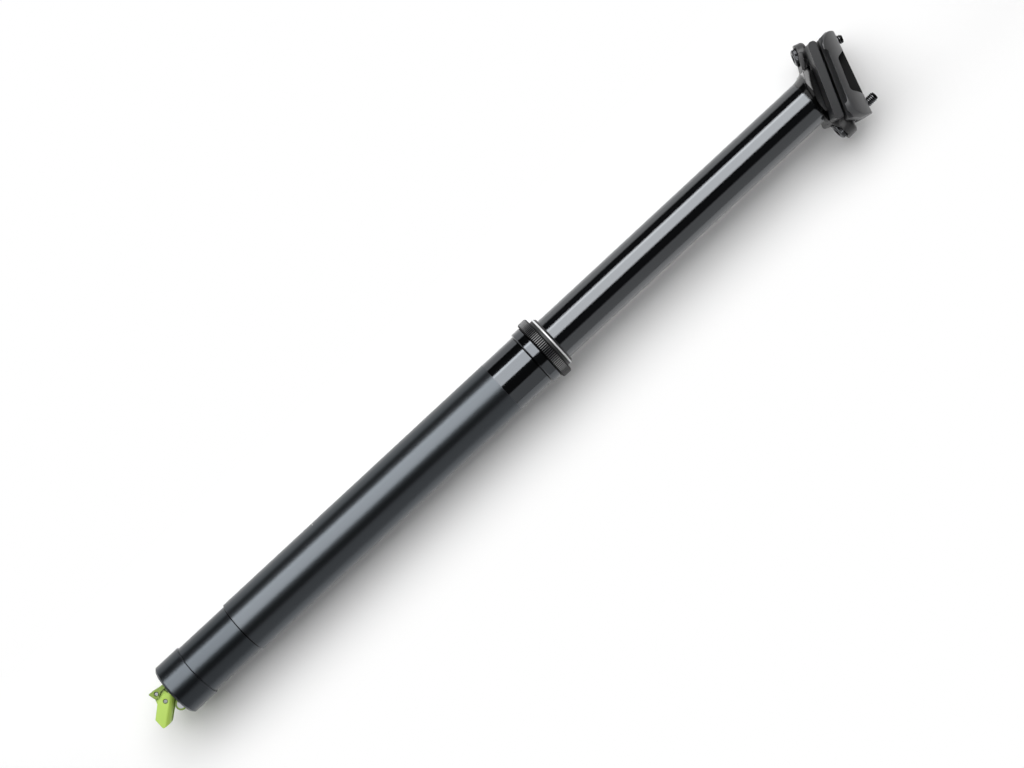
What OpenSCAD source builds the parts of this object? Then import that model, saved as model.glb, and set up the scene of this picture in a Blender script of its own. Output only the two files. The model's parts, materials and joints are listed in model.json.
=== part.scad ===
// Dropper seatpost with a two-bolt saddle clamp, shown fully extended.
// Millimetres. +Z runs up the post to the saddle and +X to the front of the bicycle.
// The origin is on the post's axis at the underside of the insertion stop.

/* [Outer tube] */
// Outer diameter, which the frame's seat tube takes
tube_d = 30.9; // [30.7:0.1:31.4]
// Bore that the lower bushing runs in
bore_d = 26.6; // [26.4:0.1:26.8]
// Length below the stop that has the full diameter
insert_len = 204.6; // [203.5:0.1:230]
// Diameter of the turned-down lower end
lower_d = 29.3; // [29.2:0.1:29.8]
// Length of the turned-down part that shows above the end cap
lower_len = 32.7; // [28:0.1:40]
// Diameter of the threaded foot inside the end cap
foot_d = 28.9; // [28.7:0.1:29.1]
// Diameter of the insertion stop
stop_d = 33; // [32.4:0.1:34]
// Height of the insertion stop
stop_h = 5.6; // [4.5:0.1:7]
// Diameter of the seat for the upper bushing and the collar
seat_bore_d = 28; // [27.8:0.1:28.4]

/* [End cap] */
// Outer diameter of the end cap
cap_d = 30.8; // [30.6:0.1:30.9]
// Height of the end cap
cap_h = 16.4; // [15:0.1:19]
// Depth of the open recess under the cap's floor
cap_recess = 5; // [4.6:0.1:5.4]
// Thickness of the cap's floor
cap_floor = 4.5; // [3.5:0.1:5.5]
// Diameter of the open recess
cap_recess_d = 27; // [26:0.1:28]

/* [Collar and wiper] */
// Diameter over the collar's knurl
collar_d = 36; // [35:0.1:38]
// Height of the knurled part
collar_h = 5.6; // [4.6:0.1:7]
// Number of knurl teeth
knurl_n = 72; // [48:4:84]
// Depth of the knurl
knurl_depth = 0.55; // [0.3:0.05:0.7]
// Length of the collar's thread inside the tube
collar_thread = 10; // [8:0.1:12]
// Length of the upper bushing
upper_bush_len = 22; // [18:0.1:25]
// Outer diameter of the wiper above the collar
wiper_d = 29.5; // [29:0.1:30.5]
// Height of the wiper above the collar
wiper_h = 3.8; // [3:0.1:5]
// Depth of the wiper's seat in the collar
wiper_seat = 3; // [2.4:0.1:3.4]
// Wire diameter of the ring round the wiper
ring_wire = 1; // [0.7:0.1:1.2]

/* [Stanchion] */
// Saddle drop
drop_len = 180; // [165:1:181]
// Outer diameter of the stanchion
stanchion_d = 25; // [24.9:0.05:25.1]
// Bore of the stanchion
stanchion_bore = 22; // [21.9:0.1:22.3]
// Length of the stanchion below its guide keys
foot_len = 5; // [4:0.1:6]
// Length of the lower bushing
lower_bush_len = 19; // [15:0.1:22]
// Diameter of a guide key
key_d = 2.4; // [2.2:0.1:2.5]
// Length of a guide key
key_len = 12; // [9:0.1:13]
// Number of guide keys
key_n = 3; // [2:1:4]
// Thickness of the retaining ring
circlip_t = 1.2; // [1:0.1:1.4]

/* [Cartridge] */
// Outer diameter of the cartridge tube
cart_d = 21.4; // [21.2:0.1:21.6]
// Bore of the cartridge tube
cart_bore = 19; // [18.6:0.1:19.4]
// Diameter of the shaft
shaft_d = 8; // [7.6:0.1:8.4]
// Bore of the shaft
shaft_bore = 3.8; // [3.6:0.1:4.4]
// Diameter of the push rod
rod_d = 3; // [2.6:0.1:3.2]
// Length of the seal head inside the cartridge tube
seal_head_len = 11; // [10:0.1:14]
// Height of the main piston
piston_h = 7; // [6:0.1:9]
// Height of the floating piston
floating_h = 9; // [7:0.1:11]
// Oil column between the pistons at full extension
oil_len = 154; // [153:0.1:156]
// Height of the cartridge's top plug
plug_h = 6; // [5:0.1:8]
// Wire diameter of the cartridge's seals
oring_d = 1.8; // [1.5:0.1:2]
// Diameter of the valve poppet
poppet_d = 14; // [13.4:0.1:15]
// Thickness of the valve poppet
poppet_h = 2.2; // [1.6:0.1:2.4]

/* [Saddle head] */
// Length of the spigot bonded into the stanchion
spigot_len = 13.7; // [10:0.1:14]
// Radius of the flare from the stanchion to the head
flare_r = 13.5; // [12:0.1:16]
// Height of the rail plane above the stanchion's top, on the axis
rail_rise = 12.9; // [12.6:0.1:14]
// Forward lean of the clamp from square to the post
rail_tilt = 22; // [20:0.5:24]
// Radius of the hollow seat that the clamp tilts in
seat_r = 30; // [28:0.5:33]
// Depth of that seat below the rail plane
seat_depth = 9.5; // [9.2:0.1:10]
// Width of that seat
seat_w = 21; // [18:0.5:22]
// Width over the head's side flanges
flange_w = 29; // [27:0.5:31]
// Thickness of the side flanges at their rear end
flange_t = 2.4; // [2:0.1:2.8]
// Radius of the two bolt ears
ear_r = 6.4; // [6.2:0.1:6.5]

/* [Rail clamp] */
// Diameter of the saddle's rails
rail_d = 7; // [6.8:0.1:7.2]
// Distance between the rails
rail_spacing = 44; // [43:0.5:45]
// Opening between the two clamp halves
rail_gap = 2.5; // [2:0.1:3]
// Width over the clamp halves
clamp_w = 52; // [51.8:0.1:54]
// Thickness of the lower cradle's wings
wing_t = 4.6; // [4.2:0.05:4.7]
// Reach of the lower cradle behind the post's axis
cradle_rear = 22.4; // [20:0.1:23]
// Reach of the lower cradle in front of the post's axis
cradle_front = 19.2; // [18:0.1:20]
// Reach of the upper clamp behind the post's axis
upper_rear = 24.8; // [24.6:0.1:26]
// Reach of the upper clamp in front of the post's axis
upper_front = 22.6; // [22.4:0.1:24]
// Radius of the upper clamp's crown
crown_r = 34; // [32:0.5:38]
// Height of the crown above the rail plane
crest_h = 15; // [14.8:0.1:16]
// Rise of the crown to the front
crest_rise = 4.4; // [3.6:0.1:5.2]
// Radius of the clamp's corners seen from above
corner_r = 9; // [6:0.5:10]
// Length of the pockets' floor
pocket_len = 18; // [14:0.5:18.5]
// Height of the pockets' floor above the rail plane
pocket_floor = 7.2; // [6.8:0.1:8.6]
// Thickness of the web between the pockets
pocket_web = 6.4; // [5:0.1:8]

/* [Clamp bolts] */
// Thread diameter
bolt_d = 5; // [4.8:0.1:5.2]
// Diameter of the bolt's head
bolt_head_d = 9; // [8.6:0.1:9.2]
// Height of the bolt's head
bolt_head_h = 3.6; // [3.2:0.1:4.4]
// Length under the head
bolt_len = 24; // [23:0.1:26]
// Width across the flats of the hexagon socket
hex_af = 4; // [3.5:0.1:4.2]
// Diameter of a barrel nut
nut_d = 7.6; // [7.2:0.1:8]
// Length of a barrel nut
nut_len = 14; // [12:0.5:15]
// Radius of the half-round washers
washer_r = 4.6; // [4.5:0.05:4.8]
// Length of the half-round washers
washer_len = 9; // [8:0.1:9.4]
// Lean of the rear bolt to the front
rear_lean = 20; // [19:0.5:21]
// Place of the rear bolt's head behind the post's axis
rear_reach = 21.9; // [21.6:0.1:22.4]
// Place of the rear bolt's head below the rail plane
rear_fall = 2.7; // [2.4:0.1:3]
// Distance from the rear bolt's head to its nut
rear_grip = 18.2; // [17.8:0.1:18.6]
// Lean of the front bolt to the back
front_lean = 2; // [1:0.5:3]
// Place of the front bolt's head in front of the post's axis
front_reach = 21.4; // [21.2:0.1:21.8]
// Place of the front bolt's head below the rail plane
front_fall = 11.8; // [11.6:0.1:12.2]
// Distance from the front bolt's head to its nut
front_grip = 16.1; // [15.8:0.1:16.4]

/* [Actuator] */
// Diameter of the base flange
base_d = 22; // [20:0.5:24]
// Thickness of the base flange
base_t = 2.5; // [2:0.1:2.8]
// Width of the lever
lever_w = 12; // [11:0.1:13]
// Width of the lever's tongue between the base's lugs
tongue_w = 8.6; // [8:0.1:9]
// Width of the slot in the lever for the push rod and the cable's hook
fork_w = 5.8; // [5.4:0.1:6]
// Place of the pivot behind the post's axis
pivot_x = 5.1; // [4.8:0.1:5.6]
// Depth of the pivot below the end cap's rim
pivot_fall = 6.9; // [6.5:0.1:7.3]
// Diameter of the pivot pin
pivot_d = 2.5; // [2:0.1:2.6]
// Place of the roller pin in front of the post's axis
roller_x = 0.8; // [0.4:0.1:1]
// Depth of the roller pin below the end cap's rim
roller_fall = 6; // [5.8:0.1:6.4]
// Diameter of the roller pin
roller_d = 2.5; // [2:0.1:2.6]
// Lean of the lever's blade to the front
blade_lean = 38; // [36:0.5:40]
// Depth of the blade's tip below the end cap's rim
blade_fall = 16.4; // [15.8:0.1:17.4]
// Place of the cable in front of the post's axis
cable_x = 7.4; // [7.1:0.1:7.6]
// Diameter of the socket for the cable housing
housing_d = 4.3; // [4.1:0.1:4.6]
// Depth of the socket for the cable housing
housing_depth = 4.2; // [3.6:0.1:4.6]
// Diameter of the barrel that takes the cable head
barrel_d = 4.4; // [4:0.1:4.6]

/* [Fits] */
// Running clearance of sliding and turning round parts, on the radius
run_fit = 0.05; // [0.03:0.01:0.08]
// Clearance of pieces that are screwed or pushed together, on the radius
set_fit = 0.02; // [0.01:0.01:0.04]
// Gap between faces that meet when the post is worked
seat_gap = 0.3; // [0.25:0.01:0.35]
// Clearance of the bolts in ears, washers and slots, on the radius
bolt_room = 0.45; // [0.4:0.01:0.55]

/* [Hidden] */
$fn = 96;
eps = 0.01;
lap = 1;
far = 80;

// Heights along the post, from the insertion stop
collar_z = stop_h;
wiper_z = collar_z + collar_h;
wiper_top = wiper_z + wiper_h;
wiper_wall = 0.8;
ring_fall = 1.6;
ring_z = wiper_top - ring_fall;
drop_room = 0.5;
head_z = wiper_top + drop_len + drop_room;
step_z = -insert_len;
cap_top = step_z - lower_len;
cap_bottom = cap_top - cap_h;
floor_low = cap_bottom + cap_recess;
floor_top = floor_low + cap_floor;
bush_top = collar_z - collar_thread;
bush_low = bush_top - upper_bush_len;
lower_bush_top = bush_low - seat_gap;
lower_bush_low = lower_bush_top - lower_bush_len;
key_z = lower_bush_low - seat_gap - key_len;
foot_z = key_z - foot_len;
circlip_up = 1.4;
circlip_deep = 0.6;
circlip_z = foot_z + circlip_up;
seal_low = circlip_z + circlip_t + set_fit;
seal_flange = 3;
cart_low = seal_low + seal_flange;
cart_top = head_z - spigot_len - seat_gap;
top_out = 2.5;
piston_z = cart_low + seal_head_len + top_out;
piston_top = piston_z + piston_h;
floating_z = piston_top + oil_len;
piston_seal_r = cart_bore / 2 - oring_d / 2 - run_fit;
plug_seal_r = cart_bore / 2 - oring_d / 2 - set_fit;
shaft_foot = floor_low - base_t;
shaft_screw = 4;
shaft_top = piston_z + shaft_screw;

// Guide keys
key_out = 0.25;
key_ring = stanchion_d / 2 + key_out;
key_way = key_d / 2 + 2 * run_fit;

// Clamp: its own axes have X along the rails, Z square to them and the origin on the post's axis
rail_z = head_z + rail_rise;
tilt_z = seat_r - seat_depth;
cradle_top = -rail_gap / 2;
wing_low = cradle_top - wing_t;
cradle_mid_rear = 10;
cradle_mid_front = 12.5;
tilt_max = 5;
seat_reach = seat_r * sin(acos((tilt_z - wing_low + seat_gap) / seat_r) - tilt_max);
seat_rear = seat_r * sin(asin(cradle_mid_rear / seat_r) + tilt_max) + seat_gap;
seat_front = seat_r * sin(asin(cradle_mid_front / seat_r) + tilt_max) + seat_gap;
flange_slope = 3;
flange_up = 0.75;
flange_fall = seat_depth - flange_up;
flange_rear = 20.5;

// Bolts: the centre that a bolt rocks about is in its head, below the washer
washer_t = 1.6;
washer_flat = washer_r - washer_t;
head_face = washer_flat - set_fit;
ear_skirt = 1.1;
ear_low = washer_flat - ear_skirt;
rear_rise = 7.4;
front_rise = 8.4;
ear_hole = bolt_d / 2 + 1.3;
head_room = bolt_head_d / 2 + 0.6;
rock_room = 0.7;
rear_head = [-rear_reach, 0, rail_z - rear_fall];
front_head = [front_reach, 0, rail_z - front_fall];

// Actuator, from the end cap's rim
pivot = [-pivot_x, 0, cap_bottom - pivot_fall];
roller = [roller_x, 0, cap_bottom - roller_fall];
base_low = floor_low - base_t;
barrel_fall = 1.6;
barrel = [cable_x, 0, cap_bottom - barrel_fall];
blade_low = cap_bottom - blade_fall;
wire_d = 1.8;
lift_gap = 0.1;

// Rounds the corners of an outline of [x, y, radius] points with short arcs
function unit(v) = v / norm(v);
function corner(a, b, c) =
    let (p = [b.x, b.y], u = unit([a.x, a.y] - p), v = unit([c.x, c.y] - p))
    let (half = acos(u * v) / 2, centre = p + unit(u + v) * b.z / sin(half))
    let (s = p + u * b.z / tan(half) - centre, e = p + v * b.z / tan(half) - centre)
    let (from = atan2(s.y, s.x), turn = atan2(s.x * e.y - s.y * e.x, s * e), steps = 8)
    let (arc = [for (i = [0 : steps]) from + turn * i / steps])
    b.z == 0 ? [p] : [for (a = arc) centre + b.z * [cos(a), sin(a)]];
function rounded(pts) =
    let (n = len(pts))
    [for (i = [0 : n - 1]) each corner(pts[(i + n - 1) % n], pts[i], pts[(i + 1) % n])];

// A tube between two heights
module pipe(outer, inner, low, high) {
    translate([0, 0, low])
        difference() {
            cylinder(d = outer, h = high - low);
            translate([0, 0, -1])
                cylinder(d = inner, h = high - low + 2);
        }
}

// A rod across the post, along Y
module cross_rod(diameter, length) {
    rotate([90, 0, 0])
        cylinder(d = diameter, h = length, center = true);
}

// A side outline in X and Z, extruded along Y
module side_plate(width) {
    rotate([90, 0, 0])
        linear_extrude(width, center = true)
            children();
}

// A ring of round wire
module wire_ring(radius, wire, height) {
    translate([0, 0, height])
        rotate_extrude()
            translate([radius, 0])
                circle(d = wire, $fn = 32);
}

// Places children at each guide key
module at_keys() {
    for (i = [0 : key_n - 1])
        rotate([0, 0, 90 + i * 360 / key_n])
            translate([key_ring, 0, 0])
                children();
}

// The clamp's own axes
module on_clamp() {
    translate([0, 0, rail_z])
        rotate([0, rail_tilt, 0])
            children();
}

// The axes of a bolt, with Z along it from the centre that it rocks about
module on_rear_bolt() {
    translate(rear_head)
        rotate([0, rear_lean, 0])
            children();
}
module on_front_bolt() {
    translate(front_head)
        rotate([0, -front_lean, 0])
            children();
}

// The axes of the lever's blade, with Z up the blade to the roller pin
module on_blade() {
    translate(roller)
        rotate([0, -blade_lean, 0])
            children();
}

module outer_tube() {
    edge = 0.4;
    color("#17181a")
        difference() {
            union() {
                translate([0, 0, step_z])
                    cylinder(d = tube_d, h = insert_len + lap);
                translate([0, 0, cap_top])
                    cylinder(d = lower_d, h = lower_len + lap);
                translate([0, 0, floor_top])
                    cylinder(d = foot_d, h = cap_top - floor_top + lap);
                rotate_extrude()
                    polygon([[0, 0], [stop_d / 2 - edge, 0], [stop_d / 2, edge],
                             [stop_d / 2, stop_h - edge], [stop_d / 2 - edge, stop_h], [0, stop_h]]);
            }
            translate([0, 0, floor_top - 1])
                cylinder(d = bore_d, h = bush_low - floor_top + 2);
            translate([0, 0, bush_low])
                cylinder(d = seat_bore_d, h = stop_h - bush_low + 1);
            translate([0, 0, floor_top - 1])
                at_keys()
                    cylinder(r = key_way, h = lower_bush_low - floor_top + 1);
        }
}

module seal_collar() {
    knurl = [for (i = [0 : 2 * knurl_n - 1])
        (collar_d / 2 - knurl_depth * (i % 2)) * [cos(i * 180 / knurl_n), sin(i * 180 / knurl_n)]];
    edge = 0.7;
    color("#202124")
        difference() {
            union() {
                translate([0, 0, bush_top])
                    cylinder(d = seat_bore_d - 2 * set_fit, h = collar_thread + lap);
                intersection() {
                    translate([0, 0, collar_z])
                        linear_extrude(collar_h)
                            polygon(knurl);
                    translate([0, 0, collar_z])
                        rotate_extrude()
                            polygon([[0, 0], [collar_d / 2 - edge, 0], [collar_d / 2 + eps, edge],
                                     [collar_d / 2 + eps, collar_h - edge],
                                     [collar_d / 2 - edge, collar_h], [0, collar_h]]);
                }
            }
            translate([0, 0, bush_top - 1])
                cylinder(d = stanchion_d + 4 * seat_gap, h = far);
            translate([0, 0, wiper_z - wiper_seat])
                cylinder(d = wiper_d - 2 * wiper_wall, h = wiper_seat + 1);
        }
}

module wiper_seal() {
    outer = wiper_d / 2;
    lip = stanchion_d / 2 + 2 * run_fit;
    root = outer - wiper_wall - set_fit;
    seat_z = wiper_z - wiper_seat;
    slope = 1;
    color("#111112")
        difference() {
            rotate_extrude()
                polygon([[lip, wiper_z], [lip + slope, seat_z], [root, seat_z], [root, wiper_z],
                         [outer, wiper_z], [outer, wiper_top - slope], [outer - slope, wiper_top],
                         [lip + 0.6, wiper_top], [lip, wiper_top - 0.8], [lip + 0.5, wiper_z + slope]]);
            wire_ring(outer, ring_wire + 2 * set_fit, ring_z);
        }
}

module wiper_ring() {
    color("silver")
        wire_ring(wiper_d / 2, ring_wire, ring_z);
}

module upper_bushing() {
    slit = 1;
    color("#3a3a38")
        difference() {
            pipe(seat_bore_d - 2 * set_fit, stanchion_d + 2 * run_fit, bush_low, bush_top);
            translate([0, -slit / 2, bush_low - 1])
                cube([far, slit, upper_bush_len + 2]);
        }
}

module end_cap() {
    edge = 1.2;
    color("#17181a")
        difference() {
            rotate_extrude()
                polygon([[0, cap_bottom], [cap_d / 2 - edge, cap_bottom], [cap_d / 2, cap_bottom + edge],
                         [cap_d / 2, cap_top - 0.3], [cap_d / 2 - 0.3, cap_top], [0, cap_top]]);
            translate([0, 0, floor_top])
                cylinder(d = foot_d + 2 * set_fit, h = cap_h);
            translate([0, 0, cap_bottom - 1])
                cylinder(d = cap_recess_d, h = cap_recess + 1);
            translate([0, 0, cap_bottom])
                cylinder(d = shaft_d + 2 * set_fit, h = cap_h);
        }
}

module shaft() {
    shoulder_d = shaft_d + 4;
    color("#b9bcc0")
        difference() {
            union() {
                translate([0, 0, shaft_foot])
                    cylinder(d = shaft_d, h = shaft_top - shaft_foot);
                translate([0, 0, floor_top])
                    cylinder(d = shoulder_d, h = 2.5);
            }
            translate([0, 0, shaft_foot - 1])
                cylinder(d = shaft_bore, h = shaft_top - shaft_foot + 2);
        }
}

module main_piston() {
    port_d = 2;
    port_ring = 5.4;
    color("#a9adb2")
        difference() {
            translate([0, 0, piston_z])
                cylinder(d = cart_bore - 2 * run_fit, h = piston_h);
            translate([0, 0, piston_z - 1])
                cylinder(d = shaft_d + 2 * set_fit, h = shaft_top - piston_z + 1);
            translate([0, 0, piston_z - 1])
                cylinder(d = shaft_bore, h = piston_h + 2);
            for (i = [0 : 3])
                rotate([0, 0, 45 + 90 * i])
                    translate([port_ring, 0, piston_z - 1])
                        cylinder(d = port_d, h = piston_h + 2);
            wire_ring(piston_seal_r, oring_d + 2 * set_fit, piston_z + piston_h / 2);
        }
}

module piston_ring() {
    color("#1a1a1a")
        wire_ring(piston_seal_r, oring_d, piston_z + piston_h / 2);
}

module actuator_base() {
    lug_t = (lever_w - tongue_w) / 2 - 0.2;
    lug_y = lever_w / 2 - lug_t / 2;
    hook_w = fork_w - 0.8;
    hook_r = barrel_d / 2 + 1;
    color("#8fc33a")
        difference() {
            union() {
                translate([0, 0, base_low])
                    cylinder(d = base_d, h = base_t);
                for (side = [-1, 1])
                    translate([0, side * lug_y, 0])
                        side_plate(lug_t)
                            polygon(rounded([[pivot.x - 0.9, base_low + eps, 0],
                                             [pivot.x - 1.9, pivot.z + 1.4, 2],
                                             [pivot.x - 2.8, pivot.z - 3.4, 0.6],
                                             [pivot.x + 1.6, pivot.z - 2.3, 0.8],
                                             [pivot.x + 2.5, pivot.z - 0.8, 0.6],
                                             [pivot.x + 0.7, pivot.z + 2.2, 1],
                                             [pivot.x + 0.6, base_low + eps, 0]]));
                translate(barrel)
                    cross_rod(2 * hook_r, hook_w);
                translate([barrel.x - hook_r, -hook_w / 2, barrel.z])
                    cube([2 * hook_r, hook_w, base_low - barrel.z + eps]);
            }
            translate([0, 0, shaft_foot - 1])
                cylinder(d = shaft_d + 2 * set_fit, h = base_t + 2);
            translate(pivot)
                cross_rod(pivot_d + 2 * set_fit, far);
            translate(barrel)
                cross_rod(barrel_d + 2 * set_fit, far);
            translate(barrel)
                cylinder(d = wire_d, h = far, center = true);
        }
}

module lever_pin() {
    color("silver")
        translate(pivot)
            cross_rod(pivot_d, lever_w - 0.4);
}

module cable_barrel() {
    color("silver")
        translate(barrel)
            difference() {
                cross_rod(barrel_d, fork_w - 0.5);
                cylinder(d = wire_d, h = far, center = true);
            }
}

module actuator_lever() {
    rear = -4.6;
    front = 4.4;
    edge_r = 2.6;
    top = 4.4;
    slot_x = roller.x - 3.4;
    slot_z = roller.z - 2.4;
    slot_slope = 12.9;
    color("#9ccf45")
        difference() {
            union() {
                intersection() {
                    on_blade()
                        linear_extrude(2 * far, center = true)
                            polygon(rounded([[rear, -lever_w / 2, 0.8], [front, -lever_w / 2, edge_r],
                                             [front, lever_w / 2, edge_r], [rear, lever_w / 2, 0.8]]));
                    side_plate(lever_w + 2)
                        polygon(rounded([[roller.x - 2.3, roller.z + top, 0.5],
                                         [roller.x - 2.8, roller.z + 1, 0],
                                         [roller.x - 2.7, roller.z - 2.9, 1],
                                         [cable_x - 3, blade_low, 0.6],
                                         [cable_x + 3.2, blade_low, 1],
                                         [cable_x + 3.5, blade_low + 4.4, 2.5],
                                         [roller.x + 5.4, roller.z + 0.4, 1.5],
                                         [roller.x + 5.1, roller.z + top, 0.5]]));
                }
                side_plate(tongue_w)
                    polygon([[pivot.x - 0.4, pivot.z - 1.9], [pivot.x - 0.4, pivot.z + 1.6],
                             [pivot.x, pivot.z + 4], [roller.x + 0.5, roller.z + top - 0.3],
                             [roller.x + 0.5, roller.z - 5.2]]);
                translate(pivot)
                    cross_rod(pivot_d + 1.5, tongue_w);
            }
            side_plate(fork_w)
                polygon([[slot_x, slot_z], [slot_x + far, slot_z - far * tan(slot_slope)],
                         [slot_x + far, slot_z + far], [slot_x, slot_z + far]]);
            translate(pivot)
                cross_rod(pivot_d + 2 * run_fit, far);
            translate(roller)
                cross_rod(roller_d + 2 * set_fit, far);
            translate([cable_x, 0, blade_low - 1])
                cylinder(d = housing_d, h = housing_depth + 1);
            translate([cable_x, 0, blade_low])
                cylinder(d = wire_d, h = far);
        }
}

module roller_pin() {
    color("silver")
        translate(roller)
            cross_rod(roller_d, lever_w - 0.5);
}

module push_rod() {
    low = roller.z + roller_d / 2 + seat_gap - lift_gap;
    color("#c4c6c8")
        translate([0, 0, low])
            cylinder(d = rod_d, h = piston_top + poppet_h - low);
}

module valve_poppet() {
    color("#c9a24a")
        pipe(poppet_d, rod_d + 2 * set_fit, piston_top + lift_gap, piston_top + poppet_h);
}

module stanchion() {
    color("#0b0b0c")
        difference() {
            pipe(stanchion_d, stanchion_bore, foot_z, head_z);
            translate([0, 0, key_z])
                at_keys()
                    cylinder(r = key_d / 2 + set_fit, h = key_len);
            translate([0, 0, circlip_z])
                cylinder(d = stanchion_bore + 2 * circlip_deep, h = circlip_t);
        }
}

module lower_bushing() {
    slit = 1;
    color("#d8d6cf")
        difference() {
            pipe(bore_d - 2 * run_fit, stanchion_d + 2 * set_fit, lower_bush_low, lower_bush_top);
            translate([0, -slit / 2, lower_bush_low - 1])
                cube([far, slit, lower_bush_len + 2]);
        }
}

module guide_keys() {
    color("#c79a3b")
        translate([0, 0, key_z])
            at_keys()
                cylinder(d = key_d, h = key_len);
}

module retaining_ring() {
    mouth = 6;
    circlip_in = 1.5;
    color("#8d8f92")
        difference() {
            pipe(stanchion_bore + 2 * (circlip_deep - set_fit), stanchion_bore - 2 * circlip_in,
                 circlip_z, circlip_z + circlip_t - set_fit);
            translate([0, -mouth / 2, circlip_z - 1])
                cube([far, mouth, circlip_t + 2]);
        }
}

module cartridge_tube() {
    color("#8a8d91")
        pipe(cart_d, cart_bore, cart_low, cart_top);
}

module seal_head() {
    groove_z = cart_low + seal_head_len / 2;
    color("#9b9fa4")
        difference() {
            union() {
                translate([0, 0, seal_low])
                    cylinder(d = stanchion_bore - 2 * set_fit, h = seal_flange);
                translate([0, 0, cart_low - lap])
                    cylinder(d = cart_bore - 2 * set_fit, h = seal_head_len + lap);
            }
            translate([0, 0, seal_low - 1])
                cylinder(d = shaft_d + 2 * run_fit, h = seal_flange + seal_head_len + 2);
            wire_ring(shaft_d / 2 + oring_d / 2 + run_fit, oring_d + 2 * set_fit, groove_z);
            wire_ring(plug_seal_r, oring_d + 2 * set_fit, groove_z);
        }
}

module rod_seal() {
    color("#1a1a1a")
        wire_ring(shaft_d / 2 + oring_d / 2 + run_fit, oring_d, cart_low + seal_head_len / 2);
}

module head_oring() {
    color("#1a1a1a")
        wire_ring(plug_seal_r, oring_d, cart_low + seal_head_len / 2);
}

module cartridge_cap() {
    color("#9b9fa4")
        difference() {
            translate([0, 0, cart_top - plug_h])
                cylinder(d = cart_bore - 2 * set_fit, h = plug_h);
            wire_ring(plug_seal_r, oring_d + 2 * set_fit, cart_top - plug_h / 2);
        }
}

module cap_oring() {
    color("#1a1a1a")
        wire_ring(plug_seal_r, oring_d, cart_top - plug_h / 2);
}

module floating_piston() {
    color("#a9adb2")
        difference() {
            translate([0, 0, floating_z])
                cylinder(d = cart_bore - 2 * run_fit, h = floating_h);
            translate([0, 0, floating_z + 4])
                cylinder(d = cart_bore - 7, h = floating_h);
            wire_ring(piston_seal_r, oring_d + 2 * set_fit, floating_z + floating_h / 2);
        }
}

module floating_ring() {
    color("#1a1a1a")
        wire_ring(piston_seal_r, oring_d, floating_z + floating_h / 2);
}

// A bolt ear: a round lug along the bolt
module ear(top) {
    edge = 2;
    rotate_extrude()
        polygon(rounded([[0, ear_low, 0], [ear_r, ear_low, 0], [ear_r, top, edge], [0, top, 0]]));
}

// What an ear leaves free: the bolt's hole, the washer's hollow seat and room for the bolt's head
module ear_cut() {
    cylinder(r = ear_hole, h = far / 4);
    cross_rod(2 * (washer_r + seat_gap), washer_len + 2 * seat_gap);
    translate([0, 0, washer_flat + rock_room - far / 4])
        cylinder(r = head_room, h = far / 4);
}

module saddle_head() {
    web_w = 2 * ear_r - 1;
    web_x = 8;
    web_low = ear_low + 2.3;
    skirt_x = 2;
    neck_reach = 10.5;
    rear_w = 2 * ear_r + 1.2;
    rear_up = 1;
    flare_sink = 0.4;
    root_h = 0.8;
    slope = tan(flange_slope);
    flange_end = flange_rear * slope - flange_fall;
    front_z = front_head.z;
    color("#26272a")
        difference() {
            union() {
                translate([0, 0, head_z - spigot_len])
                    cylinder(d = stanchion_bore - 2 * set_fit, h = spigot_len + lap);
                intersection() {
                    translate([0, 0, head_z])
                        rotate_extrude()
                            difference() {
                                square([stanchion_d / 2 + flare_r - 1, flare_r - 1]);
                                translate([stanchion_d / 2 + flare_r, 0])
                                    circle(r = flare_r);
                            }
                    translate([-far, -flange_w / 2, head_z])
                        cube([2 * far, flange_w, far]);
                    union() {
                        on_clamp()
                            side_plate(far)
                                polygon([[-far, far * slope - flange_fall - flare_sink],
                                         [far, -far * slope - flange_fall - flare_sink],
                                         [far, -2 * far], [-far, -2 * far]]);
                        translate([-far, -far, head_z])
                            cube([2 * far, 2 * far, root_h]);
                    }
                }
                on_clamp()
                    side_plate(flange_w)
                        polygon(rounded([[-neck_reach, neck_reach * slope - flange_fall, 0.6],
                                         [-neck_reach, -flange_fall - flange_t, 0.6],
                                         [-1.7, -flange_fall - flange_t - 0.8, 0.6],
                                         [4.2, -flange_fall - 1.9, 0.3],
                                         [2.2, -flange_fall - 2.2 * slope, 0.3]]));
                on_clamp()
                    translate([0, 0, rear_up])
                        side_plate(rear_w)
                            polygon(rounded([[-flange_rear, flange_end, 0.6],
                                             [-flange_rear, flange_end - flange_t, 0.8],
                                             [-1.7, -flange_fall - flange_t - 0.8, 0.6],
                                             [-1.7, -flange_fall - 1.3, 0.3]]));
                intersection() {
                    on_clamp()
                        translate([-seat_reach, -seat_w / 2, -seat_depth - 0.5])
                            cube([2 * seat_reach, seat_w, 6.5]);
                    translate([-far / 2, -far / 2, head_z + 0.3])
                        cube([far, far, far]);
                }
                on_rear_bolt()
                    difference() {
                        ear(rear_rise);
                        translate([skirt_x, -far / 2, 0])
                            cube([far, far, web_low]);
                    }
                on_front_bolt()
                    ear(front_rise);
                side_plate(web_w)
                    polygon([[web_x, head_z + 0.4], [web_x + 5.2, head_z + 0.4],
                             [front_reach - 4, front_z + ear_low - 2], [front_reach, front_z + ear_low],
                             [front_reach, front_z + front_rise], [front_reach - 6, front_z + front_rise],
                             [web_x, front_z + 4]]);
                on_rear_bolt()
                    translate([0, -web_w / 2, web_low])
                        cube([ear_r + web_x, web_w, rear_rise - web_low]);
            }
            on_clamp()
                intersection() {
                    translate([0, 0, tilt_z])
                        cross_rod(2 * (seat_r + run_fit), far);
                    translate([-seat_rear, -far / 2, -seat_depth - 2])
                        cube([seat_rear + seat_front, far, far]);
                }
            on_rear_bolt()
                ear_cut();
            on_front_bolt()
                ear_cut();
        }
}

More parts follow.
